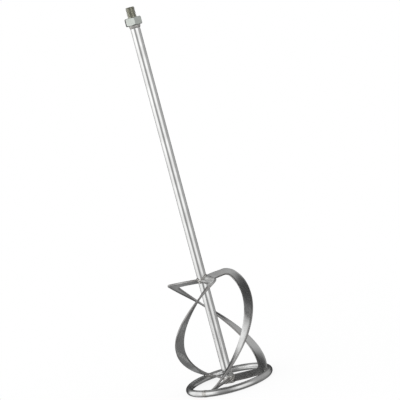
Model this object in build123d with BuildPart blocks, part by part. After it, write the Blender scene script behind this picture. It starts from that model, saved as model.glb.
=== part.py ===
from build123d import *
import math
import os

# Mortar mixing paddle: an M14 stud and hexagonal collar, a round shaft, three helical blades and
# a bottom ring, all welded together.
# Lengths are in millimetres and angles in degrees.
# Z runs up the shaft. The origin is on the shaft's axis, on the floor under the bottom ring.

overall_length = 600.0

# Threaded stud, drawn at the thread's major diameter. A plain seat fills the collar's bore, and a
# thinner shank goes down inside the tube.
thread_diameter = 14.0
thread_length = 16.0
thread_chamfer = 1.2
seat_diameter = 15.0
shank_length = 30.0

# Hexagonal collar under the thread
collar_across_flats = 24.0
collar_length = 12.0
collar_turn = 8.0
collar_chamfer_angle = 28.0

# Shaft tube, closed by a plug at the bottom
shaft_diameter = 15.0
shaft_bore = 10.0
shaft_bottom = 1.0
plug_recess = 1.0
plug_thickness = 4.0

# Bottom ring: round bar bent to a hoop, its two ends joined by a butt weld
ring_outer_diameter = 139.0
ring_bar_diameter = 10.5
seam_angle = 232.0
seam_gap = 4.0
seam_bulge = 0.5

# Blades: each is one flat strip, a lower arm, a helical ribbon and an upper arm.
strip_width = 14.5
strip_thickness = 3.0
foot_height = 6.5
outer_radius_middle = 69.4
inner_corner = 5.0
slope_skew = 0.015
slope_ease = -0.47
# They are bent and set out by hand, so no two are quite alike. Each list has one value per blade:
# the turn of its lower arm about the shaft, the sweep from there to its upper arm, the height of
# its upper arm, the radius its outer edge has at both ends, and the radius of its outer corners.
blade_turns = [-7.0, 116.0, 237.5]
blade_sweeps = [161.0, 170.5, 162.5]
head_heights = [167.0, 170.0, 167.5]
end_radii = [61.0, 62.5, 60.0]
outer_corners = [7.0, 13.5, 13.5]
arm_start = 3.0
flat_until = 28.0
wrapped_from = 48.0
arm_stations = 6
corner_stations = 6
ribbon_stations = 20

# Weld beads
collar_bead_height = 5.0
collar_bead_width = 1.7
collar_bead_fullness = 0.62
arm_bead_margin = 2.0
arm_bead_lip = 0.3
arm_bead_reach = 4.5
arm_bead_overlap = 3.0
foot_bead_size = 2.2
foot_first_station = 5
foot_ribbon_stations = 3

# Sizes that follow from the driving dimensions
collar_top = overall_length - thread_length
collar_bottom = collar_top - collar_length
shaft_radius = shaft_diameter / 2
bar_radius = ring_bar_diameter / 2
ring_radius = ring_outer_diameter / 2 - bar_radius
half_width = strip_width / 2

# In the functions below, which is a blade's place in the lists, and share runs from 0 at its lower
# arm to 1 at its upper arm.


def strip_angle(which, share):
    """Angle about the shaft in radians."""
    return math.radians(blade_turns[which] + blade_sweeps[which] * share)


def ribbon_height(which, share):
    """Height of the ribbon's surface: its slope is gentler at both ends."""
    inside = share * (1 - share)
    rise = head_heights[which] - foot_height
    return foot_height + rise * (share + slope_skew * inside + slope_ease * inside * (1 - 2 * share))


def ribbon_climb(which, share):
    """Rise per radian of turn."""
    bend = slope_skew * (1 - 2 * share) + slope_ease * (1 - 6 * share + 6 * share * share)
    return (head_heights[which] - foot_height) * (1 + bend) / math.radians(blade_sweeps[which])


def ribbon_radius(which, share):
    """The ribbon bulges: its outer edge is widest half way up."""
    return outer_radius_middle + (end_radii[which] - outer_radius_middle) * (2 * share - 1) ** 2


def ribbon_place(which, share, radius):
    """Point and normal on a ribbon at a radius."""
    angle = strip_angle(which, share)
    climb = ribbon_climb(which, share)
    point = Vector(radius * math.cos(angle), radius * math.sin(angle), ribbon_height(which, share))
    normal = Vector(climb * math.sin(angle), -climb * math.cos(angle), radius)
    return point, normal.normalized()


def middle_radius(which):
    """Radius of the strip's middle line at both ends of the ribbon."""
    return end_radii[which] - half_width


def arm_tilt(which, end):
    """Tilt of an arm about its own length: the ribbon's slope at that end."""
    return math.atan2(ribbon_climb(which, end), middle_radius(which))


def corner_share(which, end, along):
    """Share of the sweep that a distance along the strip past the arm's middle line comes to."""
    turned_by = math.degrees(along * math.cos(arm_tilt(which, end)) / middle_radius(which))
    return end + (1 - 2 * end) * turned_by / blade_sweeps[which]


def arm_place(which, end, radius, along):
    """Point and normal on an arm or its corner.

    end is 0 for the lower arm and 1 for the upper arm. along is the distance from the arm's
    middle line towards the other arm. The arm is flat near the shaft, and its surface runs
    into the ribbon's towards the rim.
    """
    tilt = arm_tilt(which, end)
    side = 1 - 2 * end
    angle = strip_angle(which, end)
    outward = Vector(math.cos(angle), math.sin(angle), 0)
    sideways = Vector(-math.sin(angle), math.cos(angle), 0)
    level = ribbon_height(which, end) + side * along * math.sin(tilt)
    flat_point = outward * radius + sideways * (side * along * math.cos(tilt)) + Vector(0, 0, level)
    flat_normal = Vector(0, 0, math.cos(tilt)) - sideways * math.sin(tilt)
    share = corner_share(which, end, along)
    bulge = ribbon_radius(which, min(max(share, 0), 1)) - end_radii[which]
    ribbon_point, ribbon_normal = ribbon_place(which, share, radius + bulge)
    part_way = min(max((radius - flat_until) / (wrapped_from - flat_until), 0), 1)
    blend = part_way * part_way * (3 - 2 * part_way)
    point = flat_point * (1 - blend) + ribbon_point * blend
    normal = flat_normal * (1 - blend) + ribbon_normal * blend
    return point, normal.normalized()


def cross_section(outer, inner):
    """Plane across the strip between a place on its outer edge and one on its inner edge."""
    across = outer[0] - inner[0]
    normal = (outer[1] + inner[1]).normalized()
    return Plane((outer[0] + inner[0]) * 0.5, x_dir=across, z_dir=across.cross(normal)), across.length


def end_sections(which, end):
    """Cross sections from the shaft along an arm and round its corner."""
    sections = []
    outer_corner = outer_corners[which]
    outer_turn_in = end_radii[which] - outer_corner
    inner_turn_in = end_radii[which] - strip_width - inner_corner
    for step in range(arm_stations):
        share = step / arm_stations
        outer = arm_place(which, end, arm_start + (outer_turn_in - arm_start) * share, -half_width)
        inner = arm_place(which, end, arm_start + (inner_turn_in - arm_start) * share, half_width)
        sections.append(cross_section(outer, inner))
    for step in range(corner_stations + 1):
        bend = math.radians(90 * step / corner_stations)
        out = math.sin(bend)
        on = 1 - math.cos(bend)
        outer = arm_place(which, end, outer_turn_in + outer_corner * out, outer_corner * on - half_width)
        inner = arm_place(which, end, inner_turn_in + inner_corner * out, inner_corner * on + half_width)
        sections.append(cross_section(outer, inner))
    return sections


def ribbon_sections(which):
    """Cross sections of the ribbon between the two corners."""
    sections = []
    outer_ends = [corner_share(which, end, outer_corners[which] - half_width) for end in (0, 1)]
    inner_ends = [corner_share(which, end, inner_corner + half_width) for end in (0, 1)]
    for step in range(1, ribbon_stations):
        share = step / ribbon_stations
        outer_share = outer_ends[0] + (outer_ends[1] - outer_ends[0]) * share
        inner_share = inner_ends[0] + (inner_ends[1] - inner_ends[0]) * share
        outer = ribbon_place(which, outer_share, ribbon_radius(which, outer_share))
        inner = ribbon_place(which, inner_share, ribbon_radius(which, inner_share) - strip_width)
        sections.append(cross_section(outer, inner))
    return sections


def keep(piece, name):
    """Name a finished piece and write it to its own file."""
    piece.part.label = name
    export_step(piece.part, f"parts/{name}.step")


os.makedirs("parts", exist_ok=True)

# Threaded stud: the threaded end above the collar, a seat through it and a shank in the tube
with BuildPart() as threaded_stud:
    with BuildSketch(Plane.XY.offset(collar_top)):
        Circle(thread_diameter / 2)
    extrude(amount=thread_length)
    chamfer(threaded_stud.edges().group_by(Axis.Z)[-1], length=thread_chamfer)
    with BuildSketch(Plane.XY.offset(collar_bottom)):
        Circle(seat_diameter / 2)
    extrude(amount=collar_length)
    with BuildSketch(Plane.XY.offset(collar_bottom - shank_length)):
        Circle(shaft_bore / 2)
    extrude(amount=shank_length)
    chamfer(threaded_stud.edges().group_by(Axis.Z)[0], length=thread_chamfer)
keep(threaded_stud, "threaded_stud")

# Hexagonal collar: its corners are turned off to a cone at the top and the bottom
with BuildPart() as hex_collar:
    with BuildSketch(Plane.XY.offset(collar_bottom)):
        RegularPolygon(collar_across_flats / 2, 6, major_radius=False, rotation=collar_turn)
    extrude(amount=collar_length)
    with BuildSketch(Plane.XZ):
        corner_radius = collar_across_flats / math.sqrt(3)
        cone_width = corner_radius - collar_across_flats / 2
        cone_depth = cone_width * math.tan(math.radians(collar_chamfer_angle))
        with BuildLine():
            Polyline(
                (0, collar_bottom),
                (collar_across_flats / 2, collar_bottom),
                (corner_radius, collar_bottom + cone_depth),
                (corner_radius, collar_top - cone_depth),
                (collar_across_flats / 2, collar_top),
                (0, collar_top),
                close=True,
            )
        make_face()
    revolve(mode=Mode.INTERSECT)
    with BuildSketch(Plane.XY.offset(collar_bottom)):
        Circle(seat_diameter / 2)
    extrude(amount=collar_length, mode=Mode.SUBTRACT)
keep(hex_collar, "hex_collar")

# Shaft tube, from the collar down to just above the floor
with BuildPart() as shaft_tube:
    with BuildSketch(Plane.XY.offset(shaft_bottom)):
        Circle(shaft_radius)
        Circle(shaft_bore / 2, mode=Mode.SUBTRACT)
    extrude(amount=collar_bottom - shaft_bottom)
keep(shaft_tube, "shaft_tube")

# Plug that closes the tube's lower end
with BuildPart() as shaft_end_plug:
    with BuildSketch(Plane.XY.offset(shaft_bottom + plug_recess)):
        Circle(shaft_bore / 2)
    extrude(amount=plug_thickness)
keep(shaft_end_plug, "shaft_end_plug")

# Fillet bead under the collar
with BuildPart() as collar_weld:
    with BuildSketch(Plane.XZ):
        inner_top = (shaft_radius, collar_bottom)
        outer_top = (shaft_radius + collar_bead_width, collar_bottom)
        bead_face = (
            shaft_radius + collar_bead_width * collar_bead_fullness,
            collar_bottom - collar_bead_height * collar_bead_fullness,
        )
        toe = (shaft_radius, collar_bottom - collar_bead_height)
        with BuildLine():
            Line(inner_top, outer_top)
            ThreePointArc(outer_top, bead_face, toe)
            Line(toe, inner_top)
        make_face()
    revolve()
keep(collar_weld, "collar_weld")

# Bottom ring, open by a small gap
seam_half_angle = math.degrees(seam_gap / 2 / ring_radius)
first_end = Plane.XZ.rotated((0, 0, seam_angle + seam_half_angle))
with BuildPart() as base_ring:
    with BuildSketch(first_end):
        with Locations((ring_radius, bar_radius)):
            Circle(bar_radius)
    revolve(axis=Axis.Z, revolution_arc=360 - 2 * seam_half_angle)
keep(base_ring, "base_ring")

# Butt weld that fills the gap: a barrel a little proud of the bar, ground flush underneath
seam_direction = Vector(-math.sin(math.radians(seam_angle)), math.cos(math.radians(seam_angle)), 0)
seam_outward = Vector(math.cos(math.radians(seam_angle)), math.sin(math.radians(seam_angle)), 0)
seam_centre = seam_outward * ring_radius + Vector(0, 0, bar_radius)
with BuildPart() as ring_seam_weld:
    with BuildSketch(Plane(seam_centre, x_dir=seam_direction, z_dir=seam_outward.cross(seam_direction))):
        with BuildLine():
            Polyline((-seam_gap, bar_radius), (-seam_gap, 0), (seam_gap, 0), (seam_gap, bar_radius))
            ThreePointArc((-seam_gap, bar_radius), (0, bar_radius + seam_bulge), (seam_gap, bar_radius))
        make_face()
    revolve(axis=Axis(seam_centre, seam_direction))
    add(base_ring.part, mode=Mode.SUBTRACT)
    split(bisect_by=Plane.XY, keep=Keep.TOP)
keep(ring_seam_weld, "ring_seam_weld")

# Outlines that the blades and beads are cut to: the solid shaft and the whole ring
with BuildPart() as shaft_rod:
    with BuildSketch(Plane.XY):
        Circle(shaft_radius)
    extrude(amount=collar_bottom)

with BuildPart() as ring_hoop:
    with Locations((0, 0, bar_radius)):
        Torus(ring_radius, bar_radius)

# Blades: each strip is drawn in five stretches, an arm, a corner, the ribbon, a corner and an arm,
# then coped round the shaft at both ends and round the ring at its foot
upper_corner_start = arm_stations + corner_stations + ribbon_stations
stretch_ends = [
    0,
    arm_stations,
    arm_stations + corner_stations,
    upper_corner_start,
    upper_corner_start + corner_stations,
    upper_corner_start + corner_stations + arm_stations,
]
for which in range(len(blade_turns)):
    number = which + 1
    lower = end_sections(which, 0)
    ribbon = ribbon_sections(which)
    upper = end_sections(which, 1)
    sections = lower + ribbon + upper[::-1]
    with BuildPart() as blade:
        for first, last in zip(stretch_ends, stretch_ends[1:]):
            for plane, width in sections[first:last + 1]:
                with BuildSketch(plane):
                    Rectangle(width, strip_thickness)
            loft()
        add(shaft_rod.part, mode=Mode.SUBTRACT)
        add(ring_hoop.part, mode=Mode.SUBTRACT)
    keep(blade, f"blade_{number}")

    # Beads round the arms' roots, widest at the shaft and cut off level with its lower end
    for name, end, root in (("lower", 0, lower[0][0]), ("upper", 1, upper[0][0])):
        angle = strip_angle(which, end)
        outward = Vector(math.cos(angle), math.sin(angle), 0)
        with BuildPart() as arm_weld:
            for distance, margin in (
                (shaft_radius - arm_bead_overlap, arm_bead_margin),
                (shaft_radius + arm_bead_reach, arm_bead_lip),
            ):
                centre = outward * distance + Vector(0, 0, ribbon_height(which, end))
                with BuildSketch(Plane(centre, x_dir=root.x_dir, z_dir=outward)):
                    Rectangle(strip_width + 2 * margin, strip_thickness + 2 * margin)
                    fillet(vertices(), radius=strip_thickness / 2)
            loft()
            add(shaft_rod.part, mode=Mode.SUBTRACT)
            add(blade.part, mode=Mode.SUBTRACT)
            split(bisect_by=Plane.XY.offset(shaft_bottom), keep=Keep.TOP)
        keep(arm_weld, f"{name}_arm_weld_{number}")

    # Bead where the foot meets the ring: everything close to both of them and above the floor
    with BuildPart() as foot_weld:
        for plane, width in lower[foot_first_station:] + ribbon[:foot_ribbon_stations]:
            with BuildSketch(plane):
                Rectangle(width + 2 * foot_bead_size, strip_thickness + 2 * foot_bead_size)
        loft()
        with Locations((0, 0, bar_radius)):
            Torus(ring_radius, bar_radius + foot_bead_size, mode=Mode.INTERSECT)
        add(ring_hoop.part, mode=Mode.SUBTRACT)
        add(blade.part, mode=Mode.SUBTRACT)
        add(ring_seam_weld.part, mode=Mode.SUBTRACT)
        split(bisect_by=Plane.XY, keep=Keep.TOP)
    keep(foot_weld, f"foot_weld_{number}")
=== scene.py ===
import math

import bmesh
import bpy
from mathutils import Matrix, Vector


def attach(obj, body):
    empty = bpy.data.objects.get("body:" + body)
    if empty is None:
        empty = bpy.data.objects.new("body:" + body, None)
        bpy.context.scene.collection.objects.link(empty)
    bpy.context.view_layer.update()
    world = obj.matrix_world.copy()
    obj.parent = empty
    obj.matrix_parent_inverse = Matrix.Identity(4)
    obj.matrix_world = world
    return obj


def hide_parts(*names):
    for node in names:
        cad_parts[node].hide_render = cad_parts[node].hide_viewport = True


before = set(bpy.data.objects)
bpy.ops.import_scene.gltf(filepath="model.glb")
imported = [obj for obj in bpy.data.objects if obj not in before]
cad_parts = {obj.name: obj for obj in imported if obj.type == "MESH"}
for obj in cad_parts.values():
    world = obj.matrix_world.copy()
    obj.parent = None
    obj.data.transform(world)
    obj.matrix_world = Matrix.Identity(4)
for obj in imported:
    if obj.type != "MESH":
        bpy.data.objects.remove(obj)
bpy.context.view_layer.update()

MM = 0.001
UP = Vector((0, 0, 1))

# Sizes of the object, in millimetres and degrees, as in the CAD model
SHAFT_RADIUS = 7.5
BORE_RADIUS = 5.0
SHAFT_BOTTOM = 1.0
PLUG_BOTTOM = 2.0
PLUG_TOP = 6.0
COLLAR_BOTTOM = 572.0
COLLAR_TOP = 584.0
COLLAR_FLATS = 24.0
COLLAR_TURN = 8.0
COLLAR_CHAMFER = 28.0
THREAD_RADIUS = 7.0
STUD_TOP = 600.0
STUD_CHAMFER = 1.2
SEAT_RADIUS = 7.5
SHANK_BOTTOM = 542.0
BAR_RADIUS = 5.25
RING_RADIUS = 64.25
SEAM_ANGLE = 232.0
SEAM_BULGE = 0.5
BLADE_TURNS = (-7.0, 116.0, 237.5)
BLADE_SWEEPS = (161.0, 170.5, 162.5)
BLADE_HEADS = (167.0, 170.0, 167.5)
BLADE_END_RADII = (61.0, 62.5, 60.0)
BLADE_CORNERS = (7.0, 13.5, 13.5)
STRIP_WIDTH = 14.5
STRIP_THICKNESS = 3.0
FOOT_HEIGHT = 6.5
RADIUS_MIDDLE = 69.4
INNER_CORNER = 5.0
SLOPE_SKEW = 0.015
SLOPE_EASE = -0.47
FLAT_UNTIL = 28.0
WRAPPED_FROM = 48.0
HALF_WIDTH = STRIP_WIDTH / 2
COLLAR_BEAD_HEIGHT = 5.0
COLLAR_BEAD_WIDTH = 1.7

# Sizes that differ from the CAD model or aren't in it: how far from the axis the arms start, the
# thread's root and pitch, the strips' worn edges, half the length of the ring's seam, and the
# rippled beads, whose radii are for the lower arms, the upper arms and the feet
ARM_START = 4.4
THREAD_ROOT = 5.78
THREAD_PITCH = 2.0
STRIP_EDGE = 0.7
SEAM_HALF = 4.0
ARM_BEAD_SIZES = (2.5, 1.7)
FOOT_BEAD_SIZE = 1.9
LOWEST_BEAD = 1.05
BEAD_SPACING = 0.45


# ---------------------------------------------------------------------------------------------
# Mesh helpers


def clamp(value, low=0.0, high=1.0):
    """The value, kept between low and high."""
    return min(max(value, low), high)


def smooth(value):
    """A share from 0 to 1 that starts and stops gently."""
    value = clamp(value)
    return value * value * (3 - 2 * value)


def on_ring(angle, radius, height):
    """Point at an angle in radians, a radius and a height in millimetres."""
    return Vector((radius * math.cos(angle), radius * math.sin(angle), height))


def skin(name, rings, material, node, closed=False, sharp=None, rim=()):
    """A tube-like piece skinned over rings of points, with flat end caps unless it closes on itself.

    It stands for the CAD's node. Its UV map is in metres: along the rings, then round them. sharp is
    the angle past which an edge is sharp. rim lists the places round the rings whose faces get the
    attribute "rim".
    """
    mesh = bpy.data.meshes.new(name)
    bm = bmesh.new()
    uv = bm.loops.layers.uv.new("length_and_girth")
    rim_layer = bm.faces.layers.float.new("rim")
    rows = [[bm.verts.new(point * MM) for point in ring] for ring in rings]
    count = len(rings[0])
    middles = [sum(ring, Vector()) / count for ring in rings]
    far = [0.0]
    for a, b in zip(middles, middles[1:]):
        far.append(far[-1] + (b - a).length * MM)
    widest = max(rings, key=lambda ring: (ring[0] - ring[count // 2]).length)
    girth = [0.0]
    for k in range(count):
        step = (widest[(k + 1) % count] - widest[k]).length * MM
        girth.append(girth[-1] + step)
    pairs = [(i, i + 1) for i in range(len(rows) - 1)]
    if closed:
        pairs.append((len(rows) - 1, 0))
        far.append(far[-1] + (middles[0] - middles[-1]).length * MM)
    for i, j in pairs:
        for k in range(count):
            n = (k + 1) % count
            face = bm.faces.new((rows[i][k], rows[i][n], rows[j][n], rows[j][k]))
            face[rim_layer] = float(k in rim)
            corners = ((i, k), (i, k + 1), (i + 1, k + 1), (i + 1, k))
            for loop, (row, column) in zip(face.loops, corners):
                loop[uv].uv = (far[row], girth[column])
    if not closed:
        for row, place in ((rows[0], far[0]), (rows[-1], far[-1])):
            cap = bm.faces.new(row)
            for loop, column in zip(cap.loops, girth):
                loop[uv].uv = (place, column)
    bmesh.ops.recalc_face_normals(bm, faces=bm.faces)
    bm.to_mesh(mesh)
    bm.free()
    for polygon in mesh.polygons:
        polygon.use_smooth = True
    if sharp is not None:
        mesh.set_sharp_from_angle(angle=math.radians(sharp))
    piece = bpy.data.objects.new(name, mesh)
    bpy.context.scene.collection.objects.link(piece)
    piece.data.materials.append(material)
    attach(piece, "root")
    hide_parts(node)
    return piece


def lathe(profile, sides, wobble=None):
    """Rings round the Z axis for (radius, height) pairs; wobble(angle, radius, height) moves a radius."""
    rings = []
    for radius, height in profile:
        ring = []
        for k in range(sides):
            angle = 2 * math.pi * k / sides
            ring.append(on_ring(angle, wobble(angle, radius, height) if wobble else radius, height))
        rings.append(ring)
    return rings


# ---------------------------------------------------------------------------------------------
# The strip's shape, the same as the CAD blades'. blade is a place in the blades' lists, end is 0 for
# the lower arm and 1 for the upper arm, and share runs from 0 at the lower arm to 1 at the upper.


def ribbon_height(blade, share):
    """Height of the ribbon's surface: its slope is gentler at both ends."""
    inside = share * (1 - share)
    rise = BLADE_HEADS[blade] - FOOT_HEIGHT
    return FOOT_HEIGHT + rise * (share + SLOPE_SKEW * inside + SLOPE_EASE * inside * (1 - 2 * share))


def ribbon_climb(blade, share):
    """Rise per radian of turn."""
    bend = SLOPE_SKEW * (1 - 2 * share) + SLOPE_EASE * (1 - 6 * share + 6 * share * share)
    return (BLADE_HEADS[blade] - FOOT_HEIGHT) * (1 + bend) / math.radians(BLADE_SWEEPS[blade])


def ribbon_radius(blade, share):
    """The ribbon bulges: its outer edge is widest half way up."""
    return RADIUS_MIDDLE + (BLADE_END_RADII[blade] - RADIUS_MIDDLE) * (2 * share - 1) ** 2


def ribbon_place(blade, share, radius):
    """Point and normal on a ribbon at a radius."""
    angle = math.radians(BLADE_TURNS[blade] + BLADE_SWEEPS[blade] * share)
    climb = ribbon_climb(blade, share)
    normal = Vector((climb * math.sin(angle), -climb * math.cos(angle), radius))
    return on_ring(angle, radius, ribbon_height(blade, share)), normal.normalized()


def middle_radius(blade):
    """Radius of the strip's middle line at both ends of the ribbon."""
    return BLADE_END_RADII[blade] - HALF_WIDTH


def arm_tilt(blade, end):
    """Tilt of an arm about its own length: the ribbon's slope at that end."""
    return math.atan2(ribbon_climb(blade, end), middle_radius(blade))


def corner_share(blade, end, along):
    """Share of the sweep that a distance along the strip past the arm's middle line comes to."""
    turned_by = math.degrees(along * math.cos(arm_tilt(blade, end)) / middle_radius(blade))
    return end + (1 - 2 * end) * turned_by / BLADE_SWEEPS[blade]


def arm_axes(blade, end):
    """The level directions along an arm and across it."""
    angle = math.radians(BLADE_TURNS[blade] + BLADE_SWEEPS[blade] * end)
    outward = Vector((math.cos(angle), math.sin(angle), 0))
    sideways = Vector((-math.sin(angle), math.cos(angle), 0))
    return outward, sideways


def arm_place(blade, end, radius, along):
    """Point and normal on an arm or its corner.

    along is the distance from the arm's middle line towards the other arm. The arm is flat near the
    shaft, and its surface runs into the ribbon's towards the rim.
    """
    tilt = arm_tilt(blade, end)
    side = 1 - 2 * end
    outward, sideways = arm_axes(blade, end)
    level = ribbon_height(blade, end) + side * along * math.sin(tilt)
    flat_point = outward * radius + sideways * (side * along * math.cos(tilt)) + UP * level
    flat_normal = UP * math.cos(tilt) - sideways * math.sin(tilt)
    share = corner_share(blade, end, along)
    bulge = ribbon_radius(blade, clamp(share)) - BLADE_END_RADII[blade]
    ribbon_point, ribbon_normal = ribbon_place(blade, share, radius + bulge)
    blend = smooth((radius - FLAT_UNTIL) / (WRAPPED_FROM - FLAT_UNTIL))
    point = flat_point.lerp(ribbon_point, blend)
    return point, flat_normal.lerp(ribbon_normal, blend).normalized()


def station(outer, inner):
    """Middle, direction across, normal and width of the strip between its two edges."""
    across = outer[0] - inner[0]
    width = across.length
    across.normalize()
    normal = (outer[1] + inner[1]).normalized()
    normal = (normal - across * normal.dot(across)).normalized()
    return (outer[0] + inner[0]) / 2, across, normal, width


def end_stations(blade, end, arm_steps=18, corner_steps=20):
    """Stations from the shaft along an arm and round its corner."""
    found = []
    corner = BLADE_CORNERS[blade]
    outer_turn_in = BLADE_END_RADII[blade] - corner
    inner_turn_in = BLADE_END_RADII[blade] - STRIP_WIDTH - INNER_CORNER
    for step in range(arm_steps):
        share = step / arm_steps
        outer = arm_place(blade, end, ARM_START + (outer_turn_in - ARM_START) * share, -HALF_WIDTH)
        inner = arm_place(blade, end, ARM_START + (inner_turn_in - ARM_START) * share, HALF_WIDTH)
        found.append(station(outer, inner))
    for step in range(corner_steps + 1):
        bend = math.radians(90 * step / corner_steps)
        out = math.sin(bend)
        on = 1 - math.cos(bend)
        outer = arm_place(blade, end, outer_turn_in + corner * out, corner * on - HALF_WIDTH)
        inner = arm_place(blade, end, inner_turn_in + INNER_CORNER * out, INNER_CORNER * on + HALF_WIDTH)
        found.append(station(outer, inner))
    return found


def ribbon_stations(blade, steps=72):
    """Stations along the ribbon between its two corners."""
    found = []
    outer_ends = [corner_share(blade, end, BLADE_CORNERS[blade] - HALF_WIDTH) for end in (0, 1)]
    inner_ends = [corner_share(blade, end, INNER_CORNER + HALF_WIDTH) for end in (0, 1)]
    for step in range(1, steps):
        share = step / steps
        outer_share = outer_ends[0] + (outer_ends[1] - outer_ends[0]) * share
        inner_share = inner_ends[0] + (inner_ends[1] - inner_ends[0]) * share
        outer = ribbon_place(blade, outer_share, ribbon_radius(blade, outer_share))
        inner = ribbon_place(blade, inner_share, ribbon_radius(blade, inner_share) - STRIP_WIDTH)
        found.append(station(outer, inner))
    return found


def strip_outline(width, edge_steps=3, flat_steps=6):
    """Rounded rectangle across the strip, as (across, normal) offsets."""
    half, thick, edge = width / 2, STRIP_THICKNESS / 2, STRIP_EDGE
    outline = []
    for corner, (sx, sy) in enumerate(((1, 1), (-1, 1), (-1, -1), (1, -1))):
        centre = (sx * (half - edge), sy * (thick - edge))
        for step in range(edge_steps + 1):
            angle = math.radians(90 * (corner + step / edge_steps))
            outline.append((centre[0] + edge * math.cos(angle), centre[1] + edge * math.sin(angle)))
        if corner in (0, 2):
            for step in range(1, flat_steps):
                at = centre[0] - 2 * sx * (half - edge) * step / flat_steps
                outline.append((at, sy * thick))
    return outline


# ---------------------------------------------------------------------------------------------
# Shader helpers


def node_graph(owner):
    """Functions that add a node, do a sum, and ease a value between two limits, in owner's tree."""
    owner.use_nodes = True
    tree = owner.node_tree
    tree.nodes.clear()

    def add(kind, inputs=None, **settings):
        node = tree.nodes.new(kind)
        for key, value in settings.items():
            setattr(node, key, value)
        for key, value in (inputs or {}).items():
            if isinstance(value, bpy.types.NodeSocket):
                tree.links.new(value, node.inputs[key])
            else:
                node.inputs[key].default_value = value
        return node

    def calc(operation, *values):
        return add("ShaderNodeMath", dict(enumerate(values)), operation=operation).outputs[0]

    def ease(value, low, high, start=0.0, end=1.0):
        ranged = {"Value": value, "From Min": low, "From Max": high, "To Min": start, "To Max": end}
        return add("ShaderNodeMapRange", ranged, interpolation_type="SMOOTHSTEP").outputs["Result"]

    return add, calc, ease


# Brush marks per metre along the brushing and across it, and the reach of the painted hub shade from the
# axis
BRUSH_ALONG = 60
BRUSH_ACROSS = 2600
HUB_SHADE_FULL_TO = 9 * MM
HUB_SHADE_ENDS_AT = 26 * MM
HUB_SHADE_RAGGED = 20 * MM
DULLEST = 1.6


def plated_steel(
    name, colour, dull, roughness, rough_spread, streak, grain, wave, hub_shade=0.0, rim_dull=0.0
):
    """Bright zinc plate over steel, in patches between a bright and a dull colour.

    streak is "uv" for brushing along the UV map's first axis or "z" for brushing up Z. grain and wave
    are the heights in metres of the brushing and of the slow waviness of the rolled surface.
    hub_shade paints shade near the shaft: it darkens the plate there. rim_dull dulls the faces whose
    attribute "rim" is 1.
    """
    material = bpy.data.materials.new(name)
    add, calc, ease = node_graph(material)
    place = add("ShaderNodeTexCoord")
    object_place = place.outputs["Object"]

    def noise(where, scale, detail):
        settings = {"Vector": where, "Scale": scale, "Detail": detail}
        return add("ShaderNodeTexNoise", settings).outputs["Fac"]

    if streak == "uv":
        stretch = {"Vector": place.outputs["UV"], "Scale": (BRUSH_ALONG, BRUSH_ACROSS, 1)}
    else:
        stretch = {"Vector": object_place, "Scale": (BRUSH_ACROSS, BRUSH_ACROSS, BRUSH_ALONG)}
    brush = noise(add("ShaderNodeMapping", stretch).outputs[0], 1.0, 3.0)
    cloud = noise(object_place, 45.0, 4.0)
    speck = noise(object_place, 420.0, 3.0)
    roll = noise(object_place, 70.0, 1.0)

    clouded = calc("MULTIPLY", ease(cloud, 0.35, 0.65), 0.6)
    brushed = calc("MULTIPLY", ease(brush, 0.3, 0.7), 0.4)
    worn = calc("MULTIPLY", ease(speck, 0.58, 0.72), 0.4)
    shade = calc("MAXIMUM", calc("ADD", clouded, brushed), worn)
    # Painted shade: the plate darkens towards the shaft, where the arms meet it, with a ragged edge
    if hub_shade:
        xyz = add("ShaderNodeSeparateXYZ", {"Vector": object_place})
        flat = add("ShaderNodeCombineXYZ", {"X": xyz.outputs["X"], "Y": xyz.outputs["Y"]}).outputs[0]
        reach = add("ShaderNodeVectorMath", {0: flat}, operation="LENGTH").outputs["Value"]
        ragged = calc("ADD", reach, calc("MULTIPLY", calc("SUBTRACT", cloud, 0.5), HUB_SHADE_RAGGED))
        near = ease(ragged, HUB_SHADE_FULL_TO, HUB_SHADE_ENDS_AT, hub_shade, 0.0)
        shade = calc("MINIMUM", calc("ADD", shade, near), DULLEST)
    if rim_dull:
        sheared = add("ShaderNodeAttribute", attribute_name="rim").outputs["Fac"]
        shade = calc("ADD", shade, calc("MULTIPLY", sheared, rim_dull))
    # Inputs 6 and 7 and output 2 of the mix are its colours. A shade above 1 goes past the dull colour.
    mixed = add("ShaderNodeMix", {"Factor": shade, 6: (*colour, 1), 7: (*dull, 1)}, data_type="RGBA")
    mixed.clamp_factor = False
    rough = calc("ADD", roughness, calc("MULTIPLY", calc("SUBTRACT", shade, 0.5), rough_spread))
    heights = calc("ADD", calc("MULTIPLY", brush, grain), calc("MULTIPLY", roll, wave))
    bump = add("ShaderNodeBump", {"Height": heights, "Distance": 1.0, "Strength": 1.0}).outputs["Normal"]
    shader = add(
        "ShaderNodeBsdfPrincipled",
        {"Base Color": mixed.outputs[2], "Roughness": rough, "Normal": bump, "Metallic": 1.0},
    )
    add("ShaderNodeOutputMaterial", {"Surface": shader.outputs[0]})
    return material


# The strips' plate gets painted shade near the shaft, round the hub
zinc_strip = plated_steel(
    "zinc_plated_strip", colour=(0.66, 0.665, 0.66), dull=(0.5, 0.5, 0.495), roughness=0.24,
    rough_spread=0.1, streak="uv", grain=2e-6, wave=5e-5, hub_shade=0.5, rim_dull=1.6,
)
zinc_bar = plated_steel(
    "zinc_plated_bar", colour=(0.7, 0.705, 0.7), dull=(0.56, 0.56, 0.555), roughness=0.15,
    rough_spread=0.08, streak="z", grain=2e-6, wave=4e-5,
)
zinc_ring = plated_steel(
    "zinc_plated_ring", colour=(0.64, 0.645, 0.64), dull=(0.46, 0.46, 0.455), roughness=0.2,
    rough_spread=0.12, streak="uv", grain=3e-6, wave=9e-5,
)
collar_finish = plated_steel(
    "zinc_plated_collar", colour=(0.6, 0.63, 0.6), dull=(0.48, 0.51, 0.47), roughness=0.26,
    rough_spread=0.1, streak="z", grain=3e-6, wave=5e-5,
)
stud_finish = plated_steel(
    "zinc_plated_thread", colour=(0.5, 0.5, 0.43), dull=(0.38, 0.38, 0.32), roughness=0.3,
    rough_spread=0.08, streak="z", grain=2e-6, wave=2e-5,
)
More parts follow.
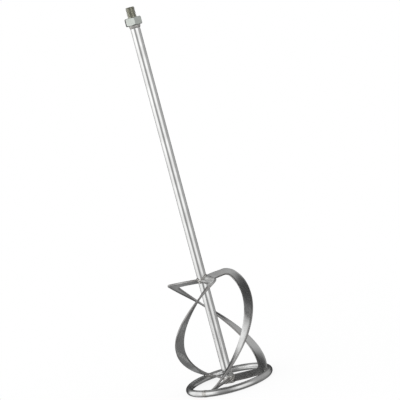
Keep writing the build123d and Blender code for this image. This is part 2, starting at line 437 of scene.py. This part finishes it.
weld_finish = plated_steel(
    "plated_weld", colour=(0.56, 0.55, 0.53), dull=(0.24, 0.235, 0.22), roughness=0.27,
    rough_spread=0.2, streak="z", grain=2e-5, wave=2.5e-4,
)

# ---------------------------------------------------------------------------------------------
# Camera, at the photograph's viewing angle

CAMERA_DISTANCE = 2.3
CAMERA_DOWN = math.radians(6.196)
CAMERA_ROLL = math.radians(14.91)
CAMERA_LENS = 134.82
AIM = Vector((0, 0, 0.3))
ASIDE = 29.83 * MM
LOWER = -3.51 * MM

ahead = Vector((0, math.cos(CAMERA_DOWN), -math.sin(CAMERA_DOWN)))
level_up = Vector((0, math.sin(CAMERA_DOWN), math.cos(CAMERA_DOWN)))
level_right = Vector((1, 0, 0))
right = level_right * math.cos(CAMERA_ROLL) - level_up * math.sin(CAMERA_ROLL)
above = level_up * math.cos(CAMERA_ROLL) + level_right * math.sin(CAMERA_ROLL)
camera = bpy.data.objects.new("camera", bpy.data.cameras.new("camera"))
camera.data.lens = CAMERA_LENS
camera.data.sensor_width = 36
turned = Matrix((right, above, -ahead)).transposed().to_4x4()
stand = AIM - ahead * CAMERA_DISTANCE + right * ASIDE + above * LOWER
camera.matrix_world = Matrix.Translation(stand) @ turned
bpy.context.scene.collection.objects.link(camera)
bpy.context.scene.camera = camera

# ---------------------------------------------------------------------------------------------
# Threaded stud: M14 thread above the collar, a seat through it and a shank below

STUD_SIDES = 72
THREAD_ROWS = 144

# Shares of the pitch, measured from the middle of the root
ROOT_UNTIL = 1 / 16
CREST_FROM = 3 / 8


def thread_radius(angle, height):
    """Radius of the thread, its crests and roots flat.

    Its depth grows over the first turn above the collar, and its top end is chamfered.
    """
    from_root = abs((height / THREAD_PITCH - angle / (2 * math.pi)) % 1 - 0.5)
    flank = clamp((from_root - ROOT_UNTIL) / (CREST_FROM - ROOT_UNTIL))
    cut = (THREAD_RADIUS - THREAD_ROOT) * (1 - flank)
    run_in = smooth((height - COLLAR_TOP) / THREAD_PITCH)
    end_cone = THREAD_RADIUS - max(0, height - (STUD_TOP - STUD_CHAMFER))
    return min(THREAD_RADIUS - cut * run_in, end_cone)


stud_profile = [(BORE_RADIUS - STUD_CHAMFER, SHANK_BOTTOM), (BORE_RADIUS, SHANK_BOTTOM + STUD_CHAMFER)]
stud_profile += [(BORE_RADIUS, COLLAR_BOTTOM), (SEAT_RADIUS, COLLAR_BOTTOM), (SEAT_RADIUS, COLLAR_TOP)]
stud_rings = lathe(stud_profile, STUD_SIDES)
for row in range(THREAD_ROWS + 1):
    height = COLLAR_TOP + (STUD_TOP - COLLAR_TOP) * row / THREAD_ROWS
    ring = []
    for k in range(STUD_SIDES):
        angle = 2 * math.pi * k / STUD_SIDES
        ring.append(on_ring(angle, thread_radius(angle, height), height))
    stud_rings.append(ring)
skin("m14_stud", stud_rings, stud_finish, "threaded_stud", sharp=50)

# ---------------------------------------------------------------------------------------------
# Hexagonal collar, its corners turned off and its edges broken

COLLAR_SIDES = 120
COLLAR_FACE_RADIUS = COLLAR_FLATS / 2 - 0.5

# The chamfer is a cone that starts this far inside the flats, and this far below the face
CONE_LEAD = 0.15
FLAT_DROP = 0.25

# The width of the broken edges, and the angle in degrees past which an edge is sharp
BROKEN_EDGE = 0.35
SHARP_FROM = 24


def hexagon(angle):
    """Radius of the hexagon at an angle in radians."""
    turned_by = (math.degrees(angle) - COLLAR_TURN + 30) % 60 - 30
    return COLLAR_FLATS / 2 / math.cos(math.radians(turned_by))


slope = math.tan(math.radians(COLLAR_CHAMFER))
collar_rings = []
# A radius of None follows the hexagon. There the chamfer moves the height by 1, 0 or -1 times its depth.
for radius, height, chamfered in (
    (SEAT_RADIUS, COLLAR_BOTTOM, 0),
    (COLLAR_FACE_RADIUS, COLLAR_BOTTOM, 0),
    (None, COLLAR_BOTTOM, 1),
    (None, (COLLAR_BOTTOM + COLLAR_TOP) / 2, 0),
    (None, COLLAR_TOP, -1),
    (COLLAR_FACE_RADIUS, COLLAR_TOP, 0),
    (SEAT_RADIUS, COLLAR_TOP, 0),
):
    ring = []
    for k in range(COLLAR_SIDES):
        angle = 2 * math.pi * k / COLLAR_SIDES + math.radians(COLLAR_TURN)
        edge = hexagon(angle)
        depth = FLAT_DROP + slope * (edge - COLLAR_FLATS / 2 + CONE_LEAD)
        ring.append(on_ring(angle, edge if radius is None else radius, height + chamfered * depth))
    collar_rings.append(ring)
collar = skin(
    "collar", collar_rings, collar_finish, "hex_collar", closed=True, sharp=SHARP_FROM
)
collar_edges = collar.modifiers.new("broken_edges", "BEVEL")
collar_edges.width = BROKEN_EDGE * MM
collar_edges.segments = 3
collar_edges.limit_method = "ANGLE"
collar_edges.angle_limit = math.radians(SHARP_FROM)
collar_edges.harden_normals = True

# ---------------------------------------------------------------------------------------------
# Shaft tube with its plug, and the bead under the collar

SHAFT_SIDES = 64
SHAFT_STEPS = 60
SHAFT_ROUND = 0.6
SHAFT_ROUND_MIDDLE = 0.18
BORE_CHAMFER = 0.3
PLUG_SIDES = 48

# The plug's end caps close this small circle at its centre
PLUG_CENTRE = 0.4

shaft_profile = [
    (BORE_RADIUS, SHAFT_BOTTOM + BORE_CHAMFER),
    (BORE_RADIUS + BORE_CHAMFER, SHAFT_BOTTOM),
    (SHAFT_RADIUS - SHAFT_ROUND, SHAFT_BOTTOM),
    (SHAFT_RADIUS - SHAFT_ROUND_MIDDLE, SHAFT_BOTTOM + SHAFT_ROUND_MIDDLE),
]
straight_from = SHAFT_BOTTOM + SHAFT_ROUND
for step in range(SHAFT_STEPS + 1):
    height = straight_from + (COLLAR_BOTTOM - straight_from) * step / SHAFT_STEPS
    shaft_profile.append((SHAFT_RADIUS, height))
shaft_profile.append((BORE_RADIUS, COLLAR_BOTTOM))
shaft_rings = lathe(shaft_profile, SHAFT_SIDES)
skin("shaft", shaft_rings, zinc_bar, "shaft_tube", closed=True, sharp=50)

# A slightly hollow face under the plug, with a rounded rim
plug_profile = [
    (PLUG_CENTRE, PLUG_BOTTOM + 0.25),
    (BORE_RADIUS - 1.8, PLUG_BOTTOM + 0.2),
    (BORE_RADIUS - 0.6, PLUG_BOTTOM + 0.05),
    (BORE_RADIUS - 0.3, PLUG_BOTTOM + 0.3),
    (BORE_RADIUS, PLUG_BOTTOM + 0.6),
    (BORE_RADIUS, PLUG_TOP),
    (PLUG_CENTRE, PLUG_TOP),
]
skin("shaft_plug", lathe(plug_profile, PLUG_SIDES), zinc_bar, "shaft_end_plug", sharp=50)

# The bead under the collar: how deep it bites into the shaft, and its ripples and slow swells
BEAD_SIDES = 156
BEAD_STEPS = 12
BEAD_BITE = 1.5
BEAD_RIPPLES = 13
BEAD_SWELLS = 5
RIPPLE_HEIGHT = 0.42
SWELL_HEIGHT = 0.18
bead_width = COLLAR_BEAD_WIDTH - 0.3


def collar_bead(angle, radius, height):
    """Rippled fillet: slanted scallops round the shaft, strongest half way down, over slow swells."""
    down = (COLLAR_BOTTOM - height) / COLLAR_BEAD_HEIGHT
    if not 0 < down < 1 or radius <= SHAFT_RADIUS - 1:
        return radius
    uneven = 0.35 * math.sin(3 * angle)
    ripple = abs(math.sin(BEAD_RIPPLES * angle + 2.2 * down + uneven)) - 0.75
    swell = SWELL_HEIGHT * math.sin(BEAD_SWELLS * angle + 1)
    return radius + RIPPLE_HEIGHT * math.sin(math.pi * down) * ripple + swell


bead_profile = [(SHAFT_RADIUS - BEAD_BITE, COLLAR_BOTTOM), (SHAFT_RADIUS + bead_width, COLLAR_BOTTOM)]
for step in range(1, BEAD_STEPS):
    share = step / BEAD_STEPS
    full = math.cos(math.pi / 2 * share) ** 0.8
    height = COLLAR_BOTTOM - COLLAR_BEAD_HEIGHT * share
    bead_profile.append((SHAFT_RADIUS - 0.1 + bead_width * full, height))
bead_profile.append((SHAFT_RADIUS - 0.6, COLLAR_BOTTOM - COLLAR_BEAD_HEIGHT))
bead_profile.append((SHAFT_RADIUS - BEAD_BITE, COLLAR_BOTTOM - COLLAR_BEAD_HEIGHT + 0.5))
bead_rings = lathe(bead_profile, BEAD_SIDES, collar_bead)
skin("collar_bead", bead_rings, weld_finish, "collar_weld", closed=True)

# ---------------------------------------------------------------------------------------------
# Bottom ring and the butt weld that closes it


def ring_place(angle, around, radius):
    """Point round the ring's bar: angle is along the ring and around is about the bar, in radians."""
    return on_ring(angle, RING_RADIUS + radius * math.cos(around), BAR_RADIUS + radius * math.sin(around))


RING_STEPS = 216
BAR_SIDES = 36
SEAM_STEPS = 28
SEAM_SIDES = 72
SEAM_RIPPLE = 0.16

# The ring's two ends run a little under the bead
seam_reach = SEAM_HALF * 0.55 / RING_RADIUS
ring_start = math.radians(SEAM_ANGLE) + seam_reach
ring_rings = []
for step in range(RING_STEPS + 1):
    angle = ring_start + (2 * math.pi - 2 * seam_reach) * step / RING_STEPS
    turns = [2 * math.pi * k / BAR_SIDES for k in range(BAR_SIDES)]
    ring_rings.append([ring_place(angle, around, BAR_RADIUS) for around in turns])
skin("bottom_ring", ring_rings, zinc_ring, "base_ring", sharp=60)

seam_rings = []
for step in range(SEAM_STEPS + 1):
    share = 2 * step / SEAM_STEPS - 1
    angle = math.radians(SEAM_ANGLE) + share * SEAM_HALF / RING_RADIUS
    fullness = 1 - share * share
    ring = []
    for k in range(SEAM_SIDES):
        around = 2 * math.pi * k / SEAM_SIDES
        ripple = SEAM_RIPPLE * math.sin(share * 9 + 0.8 * math.sin(2 * around))
        proud = (SEAM_BULGE - 0.18 + ripple) * fullness - 0.06
        point = ring_place(angle, around, BAR_RADIUS + proud)
        ring.append(Vector((point.x, point.y, clamp(point.z, 0.0, 2 * BAR_RADIUS + SEAM_BULGE))))
    seam_rings.append(ring)
skin("ring_seam_bead", seam_rings, weld_finish, "ring_seam_weld")

# ---------------------------------------------------------------------------------------------
# Weld beads laid along a path

PATH_BEAD_SIDES = 18


def bead(name, path, outward, size, node, closed, phase):
    """A rippled bead of a radius of about size, along a path.

    outward gives, for each point, the way the bead stands proud. phase shifts the ripples.
    """
    rings = []
    count = len(path)
    length = 0.0
    for i, point in enumerate(path):
        before = path[i - 1] if i or closed else point
        after = path[(i + 1) % count] if i < count - 1 or closed else point
        along = (after - before).normalized()
        if i:
            length += (point - path[i - 1]).length
        proud = (outward[i] - along * outward[i].dot(along)).normalized()
        side = along.cross(proud)
        tapered = 1.0 if closed else math.sqrt(clamp(1 - (2 * i / (count - 1) - 1) ** 6, 0.02, 1))
        ripple = 0.11 * (abs(math.sin(length * 1.15 + phase)) - 0.6)
        swell = 0.07 * math.sin(length * 0.37 + 2 * phase)
        radius = size * (1 + ripple + swell) * tapered
        ring = []
        for k in range(PATH_BEAD_SIDES):
            turn = 2 * math.pi * k / PATH_BEAD_SIDES
            lean = along * (0.28 * radius * math.cos(turn))
            offset = proud * (radius * math.cos(turn)) + side * (radius * 1.08 * math.sin(turn)) + lean
            at = point + offset
            ring.append(Vector((at.x, at.y, max(at.z, LOWEST_BEAD))))
        rings.append(ring)
    skin(name, rings, weld_finish, node, closed=closed)


def resampled(points, step, closed):
    """The same path with points a steady distance apart."""
    loop = points + points[:1] if closed else points
    lengths = [0.0]
    for a, b in zip(loop, loop[1:]):
        lengths.append(lengths[-1] + (b - a).length)
    count = max(6, round(lengths[-1] / step))
    found = []
    at = 0
    for i in range(count if closed else count + 1):
        want = lengths[-1] * i / count
        while at < len(loop) - 2 and lengths[at + 1] < want:
            at += 1
        span = lengths[at + 1] - lengths[at]
        found.append(loop[at].lerp(loop[at + 1], (want - lengths[at]) / span if span else 0))
    return found


# ---------------------------------------------------------------------------------------------
# Blades and their welds

# A foot meets the ring somewhere from this station of its arm to this station of its ribbon
FOOT_FROM = 10
FOOT_RIBBON_STATIONS = 14
HALVINGS = 24


def rim_places():
    """The places round the strip's outline that lie on its two narrow edges."""
    outline = strip_outline(STRIP_WIDTH)
    found = []
    for k, (across, _) in enumerate(outline):
        next_across = outline[(k + 1) % len(outline)][0]
        if abs(across + next_across) > STRIP_WIDTH - 2.2 * STRIP_EDGE:
            found.append(k)
    return found


def arm_bead_path(blade, end, root):
    """Where an arm's outline meets the shaft, and the ways its bead stands proud there."""
    _, root_across, root_normal, _ = root
    outward, sideways = arm_axes(blade, end)
    path = []
    for a, n in strip_outline(STRIP_WIDTH):
        offset = root_across * a + root_normal * n
        lateral = offset.dot(sideways)
        reach = math.sqrt(SHAFT_RADIUS ** 2 - lateral ** 2)
        level = ribbon_height(blade, end) + offset.z
        path.append(outward * reach + sideways * lateral + UP * level)
    path = resampled(path, BEAD_SPACING, True)
    middle = sum(path, Vector()) / len(path)
    proud = []
    for point in path:
        radial = Vector((point.x, point.y, 0)).normalized()
        proud.append((point - middle).normalized() * 0.7 + outward * 0.6 + radial * 0.4)
    return path, proud


def ring_gap(point):
    """How far a point lies outside the ring's bar."""
    return math.hypot(math.hypot(point.x, point.y) - RING_RADIUS, point.z - BAR_RADIUS) - BAR_RADIUS


def foot_bead_path(stations, face):
    """Where one face of a foot runs into the ring, and the ways its bead stands proud there.

    face is 1 for the strip's top face and -1 for its underside. Both lists are empty where fewer
    than three stations of that face meet the ring.
    """
    met = []
    for middle, across, normal, width in stations:
        surface = middle + normal * (face * STRIP_THICKNESS / 2)
        inner = surface - across * (width / 2)
        outer = surface + across * (width / 2)
        if ring_gap(outer) > 0:
            continue
        outside, inside = 0.0, 1.0
        for _ in range(HALVINGS):
            half = (outside + inside) / 2
            if ring_gap(inner.lerp(outer, half)) > 0:
                outside = half
            else:
                inside = half
        met.append((inner.lerp(outer, outside), normal * face - across * 0.6))
    if len(met) < 3:
        return [], []
    path = resampled([point for point, _ in met], BEAD_SPACING, False)
    proud = [met[round(i * (len(met) - 1) / (len(path) - 1))][1] for i in range(len(path))]
    return path, proud


for number in (1, 2, 3):
    blade = number - 1
    lower = end_stations(blade, 0)
    upper = end_stations(blade, 1)
    stations = lower + ribbon_stations(blade) + upper[::-1]
    rings = []
    for middle, across, normal, width in stations:
        rings.append([middle + across * a + normal * n for a, n in strip_outline(width)])
    strip = f"blade_strip_{number}"
    skin(strip, rings, zinc_strip, f"blade_{number}", sharp=50, rim=rim_places())

    for place, end, root in (("lower", 0, lower[0]), ("upper", 1, upper[0])):
        path, proud = arm_bead_path(blade, end, root)
        weld = f"{place}_arm_weld_{number}"
        phase = number + 2 * end
        bead(f"{place}_arm_bead_{number}", path, proud, ARM_BEAD_SIZES[end], weld, True, phase)

    foot = stations[FOOT_FROM:len(lower) + FOOT_RIBBON_STATIONS]
    for place, face in (("top", 1), ("under", -1)):
        path, proud = foot_bead_path(foot, face)
        if path:
            weld = f"foot_weld_{number}"
            bead(f"foot_bead_{number}_{place}", path, proud, FOOT_BEAD_SIZE, weld, False, number)

# ---------------------------------------------------------------------------------------------
# Floor, studio light and surroundings

# In metres, but for the glow, which is the share of the floor's look that is its own light
FLOOR_RADIUS = 3.0
FLOOR_GLOW = 0.85
FADE_FROM = 0.25
FADE_TO = 1.0
floor_mesh = bpy.data.meshes.new("floor")
floor_bm = bmesh.new()
bmesh.ops.create_circle(floor_bm, cap_ends=True, segments=96, radius=FLOOR_RADIUS)
floor_bm.to_mesh(floor_mesh)
floor_bm.free()
floor = bpy.data.objects.new("floor", floor_mesh)
bpy.context.scene.collection.objects.link(floor)
floor.visible_glossy = False
floor_finish = bpy.data.materials.new("floor_finish")
add, calc, ease = node_graph(floor_finish)
spot = add("ShaderNodeTexCoord").outputs["Object"]
reach = add("ShaderNodeVectorMath", {0: spot}, operation="LENGTH").outputs["Value"]
matte = add("ShaderNodeBsdfDiffuse", {"Color": (0.93, 0.93, 0.93, 1)})
lit_from_below = add("ShaderNodeEmission", {"Color": (1, 1, 1, 1), "Strength": 1.0})
pale = add("ShaderNodeMixShader", {0: FLOOR_GLOW, 1: matte.outputs[0], 2: lit_from_below.outputs[0]})
clear = add("ShaderNodeBsdfTransparent")
faded = ease(reach, FADE_FROM, FADE_TO)
edge = add("ShaderNodeMixShader", {0: faded, 1: pale.outputs[0], 2: clear.outputs[0]})
add("ShaderNodeOutputMaterial", {"Surface": edge.outputs[0]})
floor.data.materials.append(floor_finish)

# The studio as the polished metal sees it: soft bright panels to the left and the right front, darker
# walls elsewhere, a dark ceiling and a dark table. The camera sees plain white, and so does the
# floor, a touch brighter. Brightnesses are of plain white, and places are in degrees: a bearing is
# 0 towards the camera and positive to its right, and a height is above the horizon.
BARE_WALL = 0.24
PANELS = (
    {"brightness": 0.5, "centre": -10.0, "half_wide": 110.0, "soft": 40.0},
    {"brightness": 0.6, "centre": 108.0, "half_wide": 50.0, "soft": 25.0},
    {"brightness": 1.3, "centre": -94.0, "half_wide": 49.0, "soft": 26.0},
    {"brightness": 1.6, "centre": -68.0, "half_wide": 24.0, "soft": 24.0},
    {"brightness": 1.5, "centre": 31.0, "half_wide": 27.0, "soft": 26.0},
)
WALLS_LOW_DOWN = 0.72
REAR_CORNER = 0.05
WALL_TOPS = 0.6
CEILING = 0.07
TABLE = 0.22
TABLE_BEHIND = 0.4
FLOOR_SEES = 1.06
TALLER_ON_RIGHT = 7.0

world = bpy.data.worlds.new("studio")
bpy.context.scene.world = world
world.cycles.sampling_method = "NONE"
add, calc, ease = node_graph(world)
look = add("ShaderNodeTexCoord").outputs["Generated"]
axes = add("ShaderNodeSeparateXYZ", {"Vector": look})
to_camera = calc("MULTIPLY", axes.outputs["Y"], -1.0)
bearing = calc("MULTIPLY", calc("ARCTAN2", axes.outputs["X"], to_camera), math.degrees(1))
height = calc("MULTIPLY", calc("ARCSINE", axes.outputs["Z"]), math.degrees(1))


def between(centre, half_wide, soft):
    """1 within half_wide of a bearing and 0 beyond it, with a soft edge."""
    away = calc("ABSOLUTE", calc("SUBTRACT", bearing, centre))
    return ease(away, half_wide - soft / 2, half_wide + soft / 2, 1.0, 0.0)


def paint(below, level, mask):
    """A brightness of level where the mask is 1, over what lies below."""
    return add("ShaderNodeMix", {"Factor": mask, 2: below, 3: level}, data_type="FLOAT").outputs[0]


walls = BARE_WALL
for panel in PANELS:
    strip = between(panel["centre"], panel["half_wide"], panel["soft"])
    walls = paint(walls, panel["brightness"], strip)
walls = calc("MULTIPLY", walls, ease(height, -18.0, 2.0, WALLS_LOW_DOWN, 1.0))
behind = ease(calc("ABSOLUTE", bearing), 128.0, 148.0)
low_behind = calc("MULTIPLY", behind, ease(height, 10.0, 24.0, 1.0, 0.0))
walls = paint(walls, REAR_CORNER, low_behind)
walls = paint(walls, WALL_TOPS, ease(height, 34.0, 58.0))

rear_band = calc("MULTIPLY", ease(height, -58.0, -48.0), ease(height, -34.0, -24.0, 1.0, 0.0))
table = paint(TABLE, TABLE_BEHIND, calc("MULTIPLY", behind, rear_band))
room = paint(table, walls, ease(height, -52.0, -24.0))
# The walls are taller on the right, so the ceiling starts higher up there
right_side = between(110.0, 60.0, 40.0)
past_walls = calc("SUBTRACT", height, calc("MULTIPLY", right_side, TALLER_ON_RIGHT))
room = paint(room, CEILING, ease(past_walls, 46.0, 72.0))

paths = add("ShaderNodeLightPath")
shown = paint(room, FLOOR_SEES, paths.outputs["Is Diffuse Ray"])
shown = paint(shown, 1.0, paths.outputs["Is Camera Ray"])
background = add("ShaderNodeBackground", {"Color": shown, "Strength": 1.0})
add("ShaderNodeOutputWorld", {"Surface": background.outputs[0]})

bpy.context.scene.view_settings.view_transform = "Standard"
bpy.context.scene.cycles.use_denoising = True
